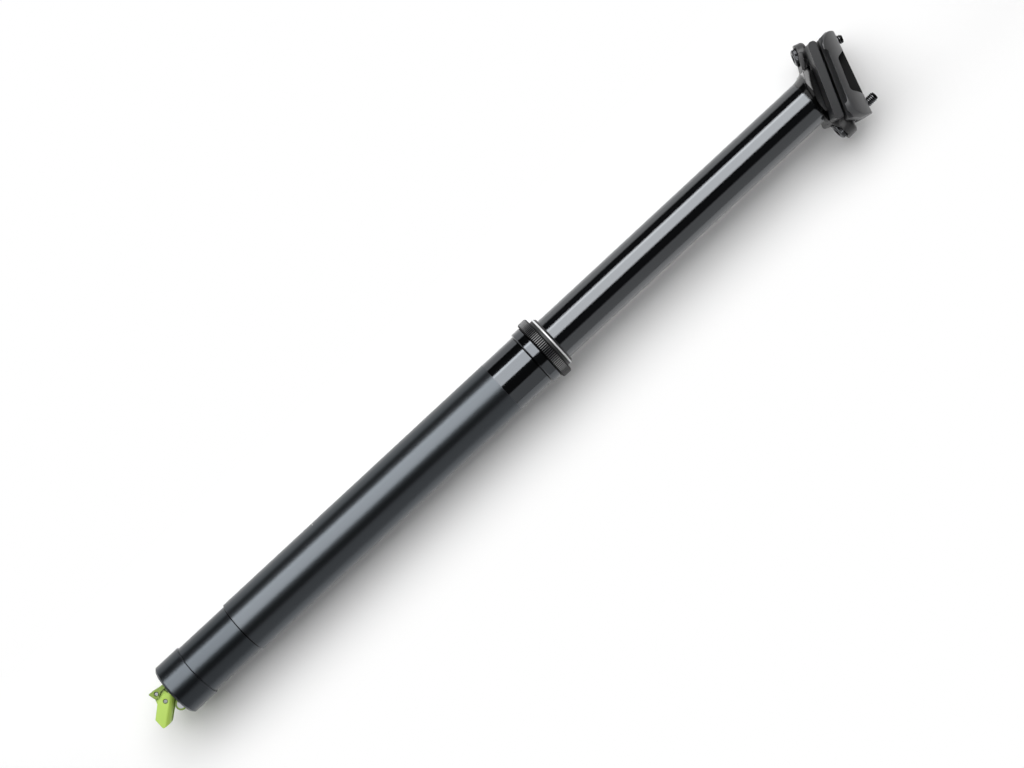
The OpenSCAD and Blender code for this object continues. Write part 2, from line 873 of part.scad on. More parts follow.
// The grooves that hold the two rails
module rail_cuts() {
    for (side = [-1, 1])
        translate([0, side * rail_spacing / 2, 0])
            rotate([0, 90, 0])
                cylinder(d = rail_d, h = 2 * far, center = true);
}

// A flat block with round corners, from above, between two reaches along the rails
module rounded_block(rear, front, width, corner, low, high) {
    translate([0, 0, low])
        linear_extrude(high - low)
            union() {
                translate([-rear + corner, -width / 2])
                    square([rear + front - 2 * corner, width]);
                translate([-rear, -width / 2 + corner])
                    square([rear + front, width - 2 * corner]);
                for (x = [-rear + corner, front - corner], y = [-1, 1])
                    translate([x, y * (width / 2 - corner)])
                        circle(r = corner);
            }
}

module lower_cradle() {
    inner = 2 * ear_r + 2;
    wing_w = (clamp_w - inner) / 2;
    color("#3b3d41")
        on_clamp()
            difference() {
                union() {
                    for (side = [-1, 1])
                        translate([0, side * (clamp_w - wing_w) / 2, 0])
                            side_plate(wing_w)
                                polygon(rounded([[-cradle_rear, cradle_top, 1.8],
                                                 [-cradle_rear, wing_low, 2.2],
                                                 [cradle_front, wing_low, 1.4],
                                                 [cradle_front, cradle_top, 0.6]]));
                    translate([-cradle_mid_rear, -inner / 2 - 1, wing_low])
                        cube([cradle_mid_rear + cradle_mid_front, inner + 2, wing_t]);
                    intersection() {
                        translate([0, 0, tilt_z])
                            cross_rod(2 * seat_r, seat_w);
                        translate([-cradle_mid_rear, -seat_w / 2, -seat_depth - 1])
                            cube([cradle_mid_rear + cradle_mid_front, seat_w, seat_depth]);
                    }
                }
                rail_cuts();
            }
}

// The room that a swinging bolt takes on both sides of its nut
module swing_slot(swing, up, down) {
    wide = bolt_d + 2 * bolt_room;
    for (a = [-swing, 0, swing])
        rotate([0, a, 0])
            translate([-wide / 2, -wide / 2, -down])
                cube([wide, wide, up + down]);
}

// The room for a barrel nut and its bolt, open to the top
module nut_trough(swing) {
    trough = nut_d + 2 * run_fit;
    long = nut_len + 2 * seat_gap;
    cross_rod(trough, long);
    translate([-trough / 2, -long / 2, 0])
        cube([trough, long, far / 2]);
    swing_slot(swing, far / 4, far / 4);
}

module upper_clamp() {
    low = rail_gap / 2;
    relief_w = 2 * ear_r + 2;
    relief_h = 7.6;
    relief_x = 12.8;
    slot_h = 3.2;
    slot_r = 1.9;
    slot_rear = 16.2;
    slot_front = 13.2;
    slot_deep = 2.6;
    pocket_back = 1.3;
    pocket_rear = 32;
    pocket_front = 22.6;
    pocket_r = 2.5;
    rise = tan(crest_rise);
    top = crest_h + 0.4;
    color("#5a5d61")
        difference() {
            on_clamp()
                intersection() {
                    rounded_block(upper_rear, upper_front, clamp_w, corner_r, low, far / 2);
                    side_plate(clamp_w + 2)
                        polygon(rounded([[-upper_rear + 2.4, low, 0.8], [-upper_rear, 6, 3],
                                         [-upper_rear, top - upper_rear * rise, 3.4],
                                         [upper_front - 1, top + upper_front * rise, 0.8],
                                         [upper_front, 8, 3], [upper_front - 2.2, low, 0.8]]));
                    translate([0, 0, crest_h])
                        rotate([0, -crest_rise, 0])
                            translate([0, 0, -crown_r])
                                rotate([0, 90, 0])
                                    cylinder(r = crown_r, h = 2 * far, center = true);
                }
            on_clamp() {
                rail_cuts();
                for (side = [-1, 1])
                    translate([0, side * clamp_w / 2, 0])
                        side_plate(2 * slot_deep)
                            polygon(rounded([[-slot_rear, -far, 0], [-slot_rear, slot_h, slot_r],
                                             [slot_front, slot_h, slot_r], [slot_front, -far, 0]]));
                for (side = [-1, 1])
                    translate([-pocket_back, side * (pocket_web / 2 + far / 2), pocket_floor])
                        side_plate(far)
                            polygon(rounded([[-pocket_len / 2 - far * tan(pocket_rear), far, 0],
                                             [-pocket_len / 2, 0, pocket_r],
                                             [pocket_len / 2, 0, pocket_r],
                                             [pocket_len / 2 + far * tan(pocket_front), far, 0]]));
                translate([relief_x, -relief_w / 2, 0])
                    cube([far, relief_w, relief_h]);
            }
            on_rear_bolt()
                translate([0, 0, rear_grip])
                    nut_trough(11);
            on_front_bolt()
                translate([0, 0, front_grip])
                    nut_trough(12);
        }
}

// A barrel nut: a cross rod with the bolt's thread through it
module barrel_nut() {
    difference() {
        cross_rod(nut_d, nut_len);
        cylinder(d = bolt_d + 2 * run_fit, h = far, center = true);
    }
}

module rear_nut() {
    color("#b0b3b7")
        on_rear_bolt()
            translate([0, 0, rear_grip])
                barrel_nut();
}

module front_nut() {
    color("#b0b3b7")
        on_front_bolt()
            translate([0, 0, front_grip])
                barrel_nut();
}

// A socket-head bolt, with its rocking centre inside the head
module clamp_bolt() {
    socket = 2;
    difference() {
        union() {
            translate([0, 0, head_face - bolt_head_h])
                rotate_extrude()
                    polygon([[0, 0], [bolt_head_d / 2 - 0.5, 0], [bolt_head_d / 2, 0.5],
                             [bolt_head_d / 2, bolt_head_h], [0, bolt_head_h]]);
            translate([0, 0, head_face - lap])
                cylinder(d = bolt_d, h = bolt_len + lap);
        }
        translate([0, 0, head_face - bolt_head_h - 1])
            cylinder(d = hex_af / cos(30), h = socket + 1, $fn = 6);
    }
}

module rear_bolt() {
    color("#55585c")
        on_rear_bolt()
            clamp_bolt();
}

module front_bolt() {
    color("#55585c")
        on_front_bolt()
            clamp_bolt();
}

// A half-round washer: flat to the bolt's head, round to the ear
module rocking_washer() {
    difference() {
        intersection() {
            cross_rod(2 * washer_r, washer_len);
            translate([-far, -far, washer_flat])
                cube([2 * far, 2 * far, far]);
        }
        cylinder(d = bolt_d + 2 * bolt_room, h = far);
    }
}

module rear_washer() {
    color("#6a6d71")
        on_rear_bolt()
            rocking_washer();
}

module front_washer() {
    color("#6a6d71")
        on_front_bolt()
            rocking_washer();
}

outer_tube();
seal_collar();
wiper_seal();
wiper_ring();
upper_bushing();
end_cap();
shaft();
main_piston();
piston_ring();
actuator_base();
lever_pin();
cable_barrel();
actuator_lever();
roller_pin();
push_rod();
valve_poppet();
stanchion();
saddle_head();
lower_bushing();
guide_keys();
retaining_ring();
cartridge_tube();
seal_head();
rod_seal();
head_oring();
cartridge_cap();
cap_oring();
floating_piston();
floating_ring();
lower_cradle();
upper_clamp();
rear_nut();
front_nut();
rear_bolt();
front_bolt();
rear_washer();
front_washer();
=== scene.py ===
"""Dresses the dropper seatpost: its materials, finer bolts, pins and collar, a studio floor, lamps and the
photograph's camera."""

import json
import math

import bmesh
import bpy
from mathutils import Matrix, Vector


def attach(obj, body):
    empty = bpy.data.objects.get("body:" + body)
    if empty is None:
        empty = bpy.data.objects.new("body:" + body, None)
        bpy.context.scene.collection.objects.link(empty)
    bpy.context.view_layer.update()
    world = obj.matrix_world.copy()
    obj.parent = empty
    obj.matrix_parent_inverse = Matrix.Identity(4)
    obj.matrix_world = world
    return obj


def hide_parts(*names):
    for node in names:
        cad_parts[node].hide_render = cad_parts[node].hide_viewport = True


MM = 0.001

# Camera: it looks square at the post's axis, which runs up to the right in the picture.
CAMERA_DISTANCE = 1303 * MM
CAMERA_X = 2.3 * MM
CAMERA_Z = -16.7 * MM
POST_SLOPE = math.radians(42.84)
LENS_MM = 88.2
SENSOR_MM = 36.0

# Floor: its glow rises from SHADOW_GLOW to white between two distances from the post, which keeps the shadow.
FLOOR_Y = 27.5 * MM
FLOOR_SIZE = 0.9
SHADOW_FROM = 26 * MM
SHADOW_TO = 68 * MM
SHADOW_GLOW = 0.1

# World: for mirrored rays it turns white as their direction leans towards the floor, between two values.
WORLD_LIGHT = 0.03
WHITE_FROM = 0.15
WHITE_TO = 0.3

# Lamps: name, angles from the camera to the lamp's two edges, seen from the post, side and radiance
PANEL_DISTANCE = 1.2
PANEL_LENGTH = 1.7
PANELS = (
    ("key", 3.5, 55.0, -1, 4.0),
    ("edge", 46.0, 55.0, -1, 2.0),
    ("fill", 40.0, 93.0, 1, 0.5),
    ("back", 158.0, 202.0, 1, 3.0),
)

# Grain of the surfaces: noise scales per metre, depths of the relief and spread of the roughness
DRIFT_SCALE = 38.0
FINE_DRIFT_SCALE = 60.0
BLAST_SCALE = 2600.0
BLAST_DEPTH = 0.04 * MM
BLAST_SPREAD = 0.04
TOOL_SCALE = 700.0
TOOL_STRETCH = (1, 1, 0.05)
TOOL_DEPTH = 0.03 * MM
TOOL_SPREAD = 0.06
RUB_DEPTH = 0.02 * MM
MOULD_DEPTH = 0.05 * MM
# Painted shade: the black that slots, pockets and the head's neck are darkened towards
PAINTED_SHADE_BLACK = (0.001, 0.001, 0.001, 1.0)
SHADOW_LINE_BLACK = (0.003, 0.003, 0.003, 1.0)
GROOVE_SHADE_BLACK = (0.002, 0.002, 0.002, 1.0)

# Outer tube
GLOSS_BAND = 21.6 * MM
GLOSS_GAIN = 0.2
TURNED_TOP = -205 * MM
# Painted shadow: a dark line at each step of the tube
STEP_SHADOW_LINES = (-204.8 * MM, -0.3 * MM)
STEP_SHADOW_HALF = 0.3 * MM
TICK_Z = -142 * MM
TICK_HALF = 0.35 * MM
TICK_X = -14.2 * MM

# Machined and forged pieces
EDGE_R = 0.35 * MM
HEAD_EDGE_R = 0.8 * MM
STEP_EDGE_R = 0.6 * MM
TUBE_EDGE_R = 1.5 * MM
# Painted shade: ambient occlusion darkens slots and pockets, and further darkens the floors of the clamp's
# pockets
CAVITY_REACH = 6 * MM
HEAD_CAVITY_REACH = 12 * MM
CAVITY_FROM = 0.35
CAVITY_TO = 0.8
CAVITY_SHADE = 0.08
POCKET_FLOOR = 9 * MM
POCKET_SHADE = 0.15
SIDEWAYS = 0.7
# Painted shade on the head's neck, below NECK_TOP and where x is above NECK_FROM
NECK_TOP = 199.2 * MM
NECK_FROM = -9 * MM
NECK_SHADE = 0.12
EAR_FROM = 14 * MM
EAR_SIDE = 8 * MM
FLANGE_SIDE = 13.5 * MM
FLANGE_DRAFT = math.tan(math.radians(4.5))

# Collar: radius and height round its section, knurled where the radius is COLLAR_R
COLLAR_R = 18.0 * MM
COLLAR_CHAMFER = 0.7 * MM
COLLAR_THREAD_R = 13.98 * MM
COLLAR_SEAT_R = 13.95 * MM
COLLAR_BORE_R = 13.1 * MM
COLLAR_FOOT = -4.4 * MM
COLLAR_LOW = 5.6 * MM
COLLAR_SEAT = 8.2 * MM
COLLAR_TOP = 11.2 * MM
COLLAR_PROFILE = [
    (COLLAR_THREAD_R, COLLAR_FOOT),
    (COLLAR_THREAD_R, COLLAR_LOW),
    (COLLAR_R - COLLAR_CHAMFER, COLLAR_LOW),
    (COLLAR_R, COLLAR_LOW + COLLAR_CHAMFER),
    (COLLAR_R, COLLAR_TOP - COLLAR_CHAMFER),
    (COLLAR_R - COLLAR_CHAMFER, COLLAR_TOP),
    (COLLAR_SEAT_R, COLLAR_TOP),
    (COLLAR_SEAT_R, COLLAR_SEAT),
    (COLLAR_BORE_R, COLLAR_SEAT),
    (COLLAR_BORE_R, COLLAR_FOOT),
]

# Collar's knurl: its section gives the share of the depth at each point of one tooth
KNURL_TEETH = 96
KNURL_DEPTH = 0.4 * MM
KNURL_SECTION = (0.0, 0.0, 0.0, 0.6, 1.0, 1.0, 0.6)

# Clamp bolts, in their own axes: Z along the bolt, the origin at the centre that it rocks about
BOLT_R = 2.5 * MM
THREAD_PITCH = 1.0 * MM
THREAD_DEPTH = 0.5 * MM
THREAD_FROM = 9.0 * MM
THREAD_ROWS = 8
THREAD_FLAT = 1.35
BOLT_TIP = 26.98 * MM
HEAD_R = 4.5 * MM
HEAD_LOW = -0.62 * MM
HEAD_HIGH = 2.98 * MM
HEAD_CHAMFER = 0.45 * MM
HEAD_KNURL = 36
HEAD_KNURL_DEPTH = 0.16 * MM
SOCKET_AF = 4.0 * MM
SOCKET_DEEP = 2.0 * MM
SOCKET_TAPER = 0.9
SOCKET_POINT_R = 0.2 * MM
SOCKET_POINT = 0.3 * MM
SOCKET_LIP = 0.2 * MM
SOCKET_FLARE = 0.25 * MM
BOLTS = {
    "rear_bolt": ("rear_screw", Vector((-21.9, 0, 205.7)) * MM, math.radians(20)),
    "front_bolt": ("front_screw", Vector((21.4, 0, 196.6)) * MM, math.radians(-2)),
}

# Actuator base: a sloping line through (FIN_X, FIN_Z) bounds its fin, and its hook lies round HOOK; both get
# painted shade.
FIN_SLOPE = 0.19
FIN_X = -3.43 * MM
FIN_Z = -258.9 * MM
HOOK = (7.4 * MM, 0, -255.3 * MM)
HOOK_R = 3.4 * MM

# Actuator pins, across the post: body, centre and half length
PIN_R = 1.25 * MM
PIN_CHAMFER = 0.4 * MM
PIN_DIMPLE_R = 0.45 * MM
PIN_DIMPLE = 0.25 * MM
PIN_SIDES = 32
PINS = {
    "lever_pin": ("outer", Vector((-5.1, 0, -260.6)) * MM, 5.8 * MM),
    "roller_pin": ("lever", Vector((0.8, 0, -259.7)) * MM, 5.75 * MM),
}


class Nodes:
    """A small helper that adds and links shader nodes."""

    def __init__(self, name):
        self.material = bpy.data.materials.new(name)
        self.material.use_nodes = True
        self.tree = self.material.node_tree
        self.shader = self.tree.nodes["Principled BSDF"]

    def add(self, kind, inputs=None, **props):
        node = self.tree.nodes.new(kind)
        for key, value in props.items():
            setattr(node, key, value)
        for key, value in (inputs or {}).items():
            self.put(node.inputs[key], value)
        return node

    def put(self, socket, value):
        if isinstance(value, bpy.types.NodeSocket):
            self.tree.links.new(value, socket)
        else:
            socket.default_value = value

    def set(self, **values):
        for key, value in values.items():
            self.put(self.shader.inputs[key.replace("_", " ")], value)

    def place(self, scale=(1, 1, 1)):
        coords = self.add("ShaderNodeTexCoord")
        return self.add("ShaderNodeMapping", {"Vector": coords.outputs["Object"], "Scale": scale}).outputs[0]

    def split(self, vector):
        parts = self.add("ShaderNodeSeparateXYZ", {"Vector": vector})
        return parts.outputs["X"], parts.outputs["Y"], parts.outputs["Z"]

    def radius(self):
        """Distance from the Z axis."""
        flat = self.add("ShaderNodeVectorMath", {"Vector": self.place((1, 1, 0))}, operation="LENGTH")
        return flat.outputs["Value"]

    def noise(self, scale, stretch=(1, 1, 1), detail=3.0):
        inputs = {"Vector": self.place(stretch), "Scale": scale, "Detail": detail}
        return self.add("ShaderNodeTexNoise", inputs).outputs[0]

    def span(self, value, low, high, start=0.0, end=1.0):
        """Maps a value from between start and end to between low and high."""
        inputs = {"Value": value, "From Min": start, "From Max": end, "To Min": low, "To Max": high}
        return self.add("ShaderNodeMapRange", inputs).outputs[0]

    def mix(self, factor, first, second):
        node = self.add("ShaderNodeMix", data_type="RGBA")
        self.put(node.inputs[0], factor)
        self.put(node.inputs[6], first)
        self.put(node.inputs[7], second)
        return node.outputs[2]

    def math(self, operation, *values):
        node = self.add("ShaderNodeMath", operation=operation)
        for socket, value in zip(node.inputs, values):
            self.put(socket, value)
        return node.outputs[0]

    def near(self, value, centre, half):
        """1 within half of the centre, 0 elsewhere."""
        return self.math("LESS_THAN", self.math("ABSOLUTE", self.math("SUBTRACT", value, centre)), half)

    def bump(self, height, strength, distance, edge=0.0):
        node = self.add("ShaderNodeBump", {"Height": height, "Strength": strength, "Distance": distance})
        if edge:
            soft_edge = self.add("ShaderNodeBevel", {"Radius": edge}, samples=4)
            self.put(node.inputs["Normal"], soft_edge.outputs[0])
        self.put(self.shader.inputs["Normal"], node.outputs[0])
        return node

    def cavity(self, reach):
        """Factor for painted shade: close to 0 well inside slots and pockets, 1 on open faces."""
        shade = self.add("ShaderNodeAmbientOcclusion", {"Distance": reach}, samples=8)
        return self.span(shade.outputs["AO"], CAVITY_SHADE, 1.0, CAVITY_FROM, CAVITY_TO)


def rgb(r, g, b):
    return (r, g, b, 1.0)


def anodised(name, dark, light, rough, index, pocket=0.0):
    """Anodised aluminium: a fine blasted grain with a faint drift in tone and gloss, with painted shade in
    slots.

    Side faces nearer than pocket to the middle plane are the floors of pockets, which get painted shade too."""
    n = Nodes(name)
    drift = n.noise(DRIFT_SCALE)
    # Painted shade: ambient occlusion darkens the colour and hides the reflection in slots and pockets
    open_face = n.cavity(CAVITY_REACH)
    # Painted shade: the floors of the pockets are darkened further
    if pocket:
        facing_y = n.split(n.add("ShaderNodeNewGeometry").outputs["True Normal"])[1]
        sideways = n.math("GREATER_THAN", n.math("ABSOLUTE", facing_y), SIDEWAYS)
        y = n.split(n.place())[1]
        floor = n.math("MULTIPLY", sideways, n.math("LESS_THAN", n.math("ABSOLUTE", y), pocket))
        open_face = n.math("MULTIPLY", open_face, n.span(floor, 1.0, POCKET_SHADE))
    n.set(Base_Color=n.mix(open_face, PAINTED_SHADE_BLACK, n.mix(drift, dark, light)),
          Roughness=n.span(drift, rough - BLAST_SPREAD, rough + BLAST_SPREAD),
          IOR=index, Specular_IOR_Level=n.span(open_face, 0.0, 0.5))
    n.bump(n.noise(BLAST_SCALE, detail=2.0), 0.12, BLAST_DEPTH, EDGE_R)
    return n.material


def collar_black():
    """Black anodised collar, with painted shade that darkens the grooves and hides their reflection between
    the knurl's bright tips.
    """
    n = Nodes("collar_black")
    drift = n.noise(FINE_DRIFT_SCALE)
    # Painted shade: below the tips the colour turns black and the reflection fades
    tip = n.span(n.radius(), 0.0, 1.0, COLLAR_R - 0.75 * KNURL_DEPTH, COLLAR_R - 0.1 * KNURL_DEPTH)
    black = n.mix(drift, rgb(0.014, 0.014, 0.015), rgb(0.02, 0.02, 0.022))
    n.set(Base_Color=n.mix(tip, GROOVE_SHADE_BLACK, black), Roughness=n.span(drift, 0.26, 0.34),
          IOR=1.9, Specular_IOR_Level=n.span(tip, 0.03, 0.5))
    n.bump(n.noise(BLAST_SCALE, detail=2.0), 0.1, BLAST_DEPTH)
    return n.material


def head_dark():
    """Gloss black forged head with blasted ears, whose flange sides have a slight draft; painted shade
    darkens its neck under the flange and its hollows, but not the front ear.
    """
    n = Nodes("head_dark")
    drift = n.noise(DRIFT_SCALE)
    x, y, z = n.split(n.place())
    side = n.math("GREATER_THAN", n.math("ABSOLUTE", y), FLANGE_SIDE)
    neck = n.math("MULTIPLY", n.math("LESS_THAN", z, NECK_TOP), n.math("GREATER_THAN", x, NECK_FROM))
    # Painted shade: ambient occlusion and the neck under the flange darken the colour and hide the reflection
    sheltered = n.math("MULTIPLY", n.cavity(HEAD_CAVITY_REACH), n.span(neck, 1.0, NECK_SHADE))
    open_face = n.math("MAXIMUM", sheltered, n.math("GREATER_THAN", x, EAR_FROM))
    ear = n.math("MULTIPLY", n.math("GREATER_THAN", n.math("ABSOLUTE", x), EAR_FROM),
                 n.math("LESS_THAN", n.math("ABSOLUTE", y), EAR_SIDE))
    black = n.mix(drift, rgb(0.0035, 0.0036, 0.004), rgb(0.006, 0.0062, 0.0068))
    blasted = n.mix(drift, rgb(0.018, 0.018, 0.019), rgb(0.024, 0.024, 0.025))
    n.set(Base_Color=n.mix(open_face, PAINTED_SHADE_BLACK, n.mix(ear, black, blasted)),
          Roughness=n.math("ADD", n.span(drift, 0.14, 0.2), n.span(ear, 0.0, 0.3)),
          IOR=1.8, Specular_IOR_Level=n.span(open_face, 0.0, 0.5))
    grain = n.bump(n.noise(BLAST_SCALE, detail=2.0), 0.05, BLAST_DEPTH, HEAD_EDGE_R)
    slope = n.math("MULTIPLY", n.math("MULTIPLY", x, side), FLANGE_DRAFT)
    draft = n.bump(slope, 1.0, 1.0)
    n.put(draft.inputs["Normal"], grain.outputs[0])
    return n.material


def tube_black():
    """Black hard-coated tube: matte, with a polished band under the stop, one fine depth mark and a painted
    shadow line at each step."""
    n = Nodes("tube_black")
    x, _, z = n.split(n.place())
    band = n.math("GREATER_THAN", z, -GLOSS_BAND)
    turned = n.math("LESS_THAN", z, TURNED_TOP)
    mark = n.math("MULTIPLY", n.near(z, TICK_Z, TICK_HALF), n.math("LESS_THAN", x, TICK_X))
    drift = n.noise(30.0, (1, 1, 0.3))
    matte = n.mix(drift, rgb(0.072, 0.079, 0.087), rgb(0.078, 0.086, 0.094))
    gloss = n.mix(drift, rgb(0.084, 0.089, 0.096), rgb(0.088, 0.094, 0.101))
    lower = n.mix(drift, rgb(0.058, 0.065, 0.072), rgb(0.063, 0.07, 0.078))
    finish = n.mix(turned, n.mix(band, matte, gloss), lower)
    # Painted shadow: a dark line at each step
    for step_z in STEP_SHADOW_LINES:
        finish = n.mix(n.near(z, step_z, STEP_SHADOW_HALF), finish, SHADOW_LINE_BLACK)
    rough = n.math("SUBTRACT", n.span(drift, 0.27, 0.32), n.math("MULTIPLY", band, GLOSS_GAIN))
    n.set(Base_Color=n.mix(mark, finish, rgb(0.35, 0.35, 0.35)), Roughness=rough, Metallic=1.0)
    n.bump(n.noise(2400.0, detail=2.0), 0.1, BLAST_DEPTH, STEP_EDGE_R)
    return n.material


def stanchion_black():
    """Gloss black hard coat, with very fine rub marks along the travel."""
    n = Nodes("stanchion_black")
    rub = n.noise(900.0, (1, 1, 0.01), 5.0)
    n.set(Base_Color=n.mix(rub, rgb(0.0006, 0.0007, 0.0009), rgb(0.0012, 0.0013, 0.0016)),
          Roughness=n.span(rub, 0.05, 0.08), IOR=2.0, Specular_Tint=rgb(0.91, 0.95, 1.0))
    n.bump(rub, 0.02, RUB_DEPTH, TUBE_EDGE_R)
    return n.material


def lever_green():
    """Lime green anodised aluminium with a fine machined grain, with painted shade darkening the base's fin
    and hook.
    """
    n = Nodes("lever_green")
    drift = n.noise(FINE_DRIFT_SCALE)
    cut = n.noise(500.0, (1, 0.05, 1))
    x, _, z = n.split(n.place())
    # Painted shade: the base's fin and hook, which lie back in the shade, are darkened
    sloped = n.math("ADD", x, n.math("MULTIPLY", z, FIN_SLOPE))
    fin = n.math("LESS_THAN", sloped, FIN_X + FIN_SLOPE * FIN_Z)
    reach = n.add("ShaderNodeVectorMath", {0: n.place((1, 0, 1)), 1: HOOK}, operation="DISTANCE")
    hook = n.math("LESS_THAN", reach.outputs["Value"], HOOK_R)
    lime = n.mix(drift, rgb(0.35, 0.53, 0.075), rgb(0.43, 0.61, 0.11))
    shaded_green = n.mix(drift, rgb(0.17, 0.27, 0.035), rgb(0.22, 0.32, 0.05))
    n.set(Base_Color=n.mix(n.math("MAXIMUM", fin, hook), lime, shaded_green),
          Roughness=n.span(cut, 0.3, 0.42), Metallic=0.25, IOR=1.6)
    n.bump(cut, 0.08, BLAST_DEPTH, EDGE_R)
    return n.material


def metal(name, dark, light, rough, metallic=1.0):
    """Turned or plated metal with fine tool marks."""
    n = Nodes(name)
    marks = n.noise(TOOL_SCALE, TOOL_STRETCH, 4.0)
    n.set(Base_Color=n.mix(marks, dark, light),
          Roughness=n.span(marks, rough - TOOL_SPREAD, rough + TOOL_SPREAD), Metallic=metallic)
    n.bump(marks, 0.06, TOOL_DEPTH)
    return n.material


def bolt_steel():
    """Black plated bolt steel, brighter on the thread's crests, with painted shade in its grooves and in the
    socket.
    """
    n = Nodes("bolt_steel")
    marks = n.noise(TOOL_SCALE, TOOL_STRETCH, 4.0)
    # Painted shade: below the thread's crests, in its grooves and in the socket, the colour turns black
    crest = n.span(n.radius(), 0.0, 1.0, BOLT_R - 0.25 * THREAD_DEPTH, BOLT_R - 0.1 * THREAD_DEPTH)
    z = n.split(n.place())[2]
    plated = n.mix(marks, rgb(0.055, 0.057, 0.06), rgb(0.1, 0.102, 0.108))
    bright_thread = n.mix(marks, rgb(0.19, 0.193, 0.2), rgb(0.27, 0.274, 0.282))
    finish = n.mix(n.math("GREATER_THAN", z, THREAD_FROM), plated, bright_thread)
    n.set(Base_Color=n.mix(crest, rgb(0.004, 0.004, 0.004), finish),
          Roughness=n.span(marks, 0.2, 0.32), Metallic=1.0)
    n.bump(marks, 0.06, TOOL_DEPTH)
    return n.material


def soft(name, dark, light, rough):
    """Rubber or plastic with a fine moulded grain."""
    n = Nodes(name)
    grain = n.noise(1800.0)
    n.set(Base_Color=n.mix(grain, dark, light),
          Roughness=n.span(grain, rough - TOOL_SPREAD, rough + TOOL_SPREAD), IOR=1.5)
    n.bump(grain, 0.15, MOULD_DEPTH)
    return n.material


def materials():
    cradle_tones = rgb(0.007, 0.0075, 0.0088), rgb(0.010, 0.0108, 0.0124)
    clamp_tones = rgb(0.032, 0.033, 0.035), rgb(0.042, 0.043, 0.046)
    return {
        "tube_black": tube_black(),
        "stanchion_black": stanchion_black(),
        "collar_black": collar_black(),
        "head_dark": head_dark(),
        "cradle_grey": anodised("cradle_grey", *cradle_tones, 0.3, 1.5),
        "clamp_grey": anodised("clamp_grey", *clamp_tones, 0.47, 1.75, POCKET_FLOOR),
        "lever_green": lever_green(),
        "raw_aluminium": metal("raw_aluminium", rgb(0.55, 0.56, 0.58), rgb(0.68, 0.69, 0.7), 0.3),
        "steel": metal("steel", rgb(0.36, 0.37, 0.39), rgb(0.46, 0.47, 0.49), 0.3),
        "bolt_steel": bolt_steel(),
        "bright_ring": metal("bright_ring", rgb(0.78, 0.79, 0.8), rgb(0.86, 0.87, 0.88), 0.3, 0.4),
        "brass": metal("brass", rgb(0.62, 0.43, 0.16), rgb(0.75, 0.55, 0.24), 0.28),
        "rubber": soft("rubber", rgb(0.012, 0.012, 0.0125), rgb(0.022, 0.022, 0.023), 0.5),
        "bushing_plastic": soft("bushing_plastic", rgb(0.16, 0.16, 0.155), rgb(0.22, 0.22, 0.21), 0.55),
    }


def ring(bm, radius, z, count):
    """Points round the Z axis; the radius is a number or a function of a point's index."""
    verts = []
    for i in range(count):
        a = 2 * math.pi * i / count
        r = radius(i) if callable(radius) else radius
        verts.append(bm.verts.new((r * math.cos(a), r * math.sin(a), z)))
    return verts


def turned_mesh(name, profile, count, closed=False):
    """A turned form with a ring of points for each radius and height of its profile.

    A closed profile joins its last ring to its first; an open one is capped at both ends."""
    bm = bmesh.new()
    rings = [ring(bm, radius, z, count) for radius, z in profile]
    following = rings[1:] + rings[:1] if closed else rings[1:]
    for low, high in zip(rings, following):
        for i in range(count):
            j = (i + 1) % count
            bm.faces.new((low[i], low[j], high[j], high[i]))
    if not closed:
        bm.faces.new(list(reversed(rings[0])))
        bm.faces.new(rings[-1])
    bmesh.ops.recalc_face_normals(bm, faces=bm.faces)
    mesh = bpy.data.meshes.new(name)
    bm.to_mesh(mesh)
    bm.free()
    return mesh


def bolt_mesh(name):
    """A socket-head bolt: knurled head with a hexagon socket, plain neck, rolled thread, chamfered tip."""
    count = 2 * HEAD_KNURL

    def hexagon(i):
        turn = (2 * math.pi * i / count + math.pi / 6) % (math.pi / 3) - math.pi / 6
        return SOCKET_AF / 2 / math.cos(turn)

    def knurl(i):
        return HEAD_R - (HEAD_KNURL_DEPTH if i % 2 else 0.0)

    profile = [
        (SOCKET_POINT_R, HEAD_LOW + SOCKET_DEEP + SOCKET_POINT),
        (lambda i: SOCKET_TAPER * hexagon(i), HEAD_LOW + SOCKET_DEEP),
        (hexagon, HEAD_LOW + SOCKET_LIP),
        (lambda i: hexagon(i) + SOCKET_FLARE, HEAD_LOW),
        (HEAD_R - 2 * HEAD_CHAMFER, HEAD_LOW),
        (HEAD_R - HEAD_CHAMFER / 2, HEAD_LOW + HEAD_CHAMFER),
        (knurl, HEAD_LOW + 2 * HEAD_CHAMFER),
        (knurl, HEAD_HIGH - HEAD_CHAMFER),
        (HEAD_R - HEAD_CHAMFER, HEAD_HIGH),
        (BOLT_R, HEAD_HIGH),
        (BOLT_R, THREAD_FROM),
    ]
    rows = int((BOLT_TIP - THREAD_FROM) / THREAD_PITCH * THREAD_ROWS)
    for row in range(1, rows + 1):
        z = THREAD_FROM + (BOLT_TIP - THREAD_FROM) * row / rows
        taper = min(1.0, (BOLT_TIP - z) / THREAD_PITCH)

        def thread(i, z=z, taper=taper):
            turn = (z / THREAD_PITCH - i / count) % 1.0
            crest = 1.0 - abs(2.0 * turn - 1.0)
            return BOLT_R - THREAD_DEPTH * (1.0 - min(1.0, THREAD_FLAT * crest) * taper)

        profile.append((thread, z))
    return turned_mesh(name, profile, count)


def collar_mesh(name):
    """The collar as one turned ring, with a fine straight knurl on its rim."""

    def toothed(i):
        return COLLAR_R - KNURL_DEPTH * KNURL_SECTION[i % len(KNURL_SECTION)]

    profile = [(toothed if r == COLLAR_R else r, z) for r, z in COLLAR_PROFILE]
    return turned_mesh(name, profile, KNURL_TEETH * len(KNURL_SECTION), closed=True)


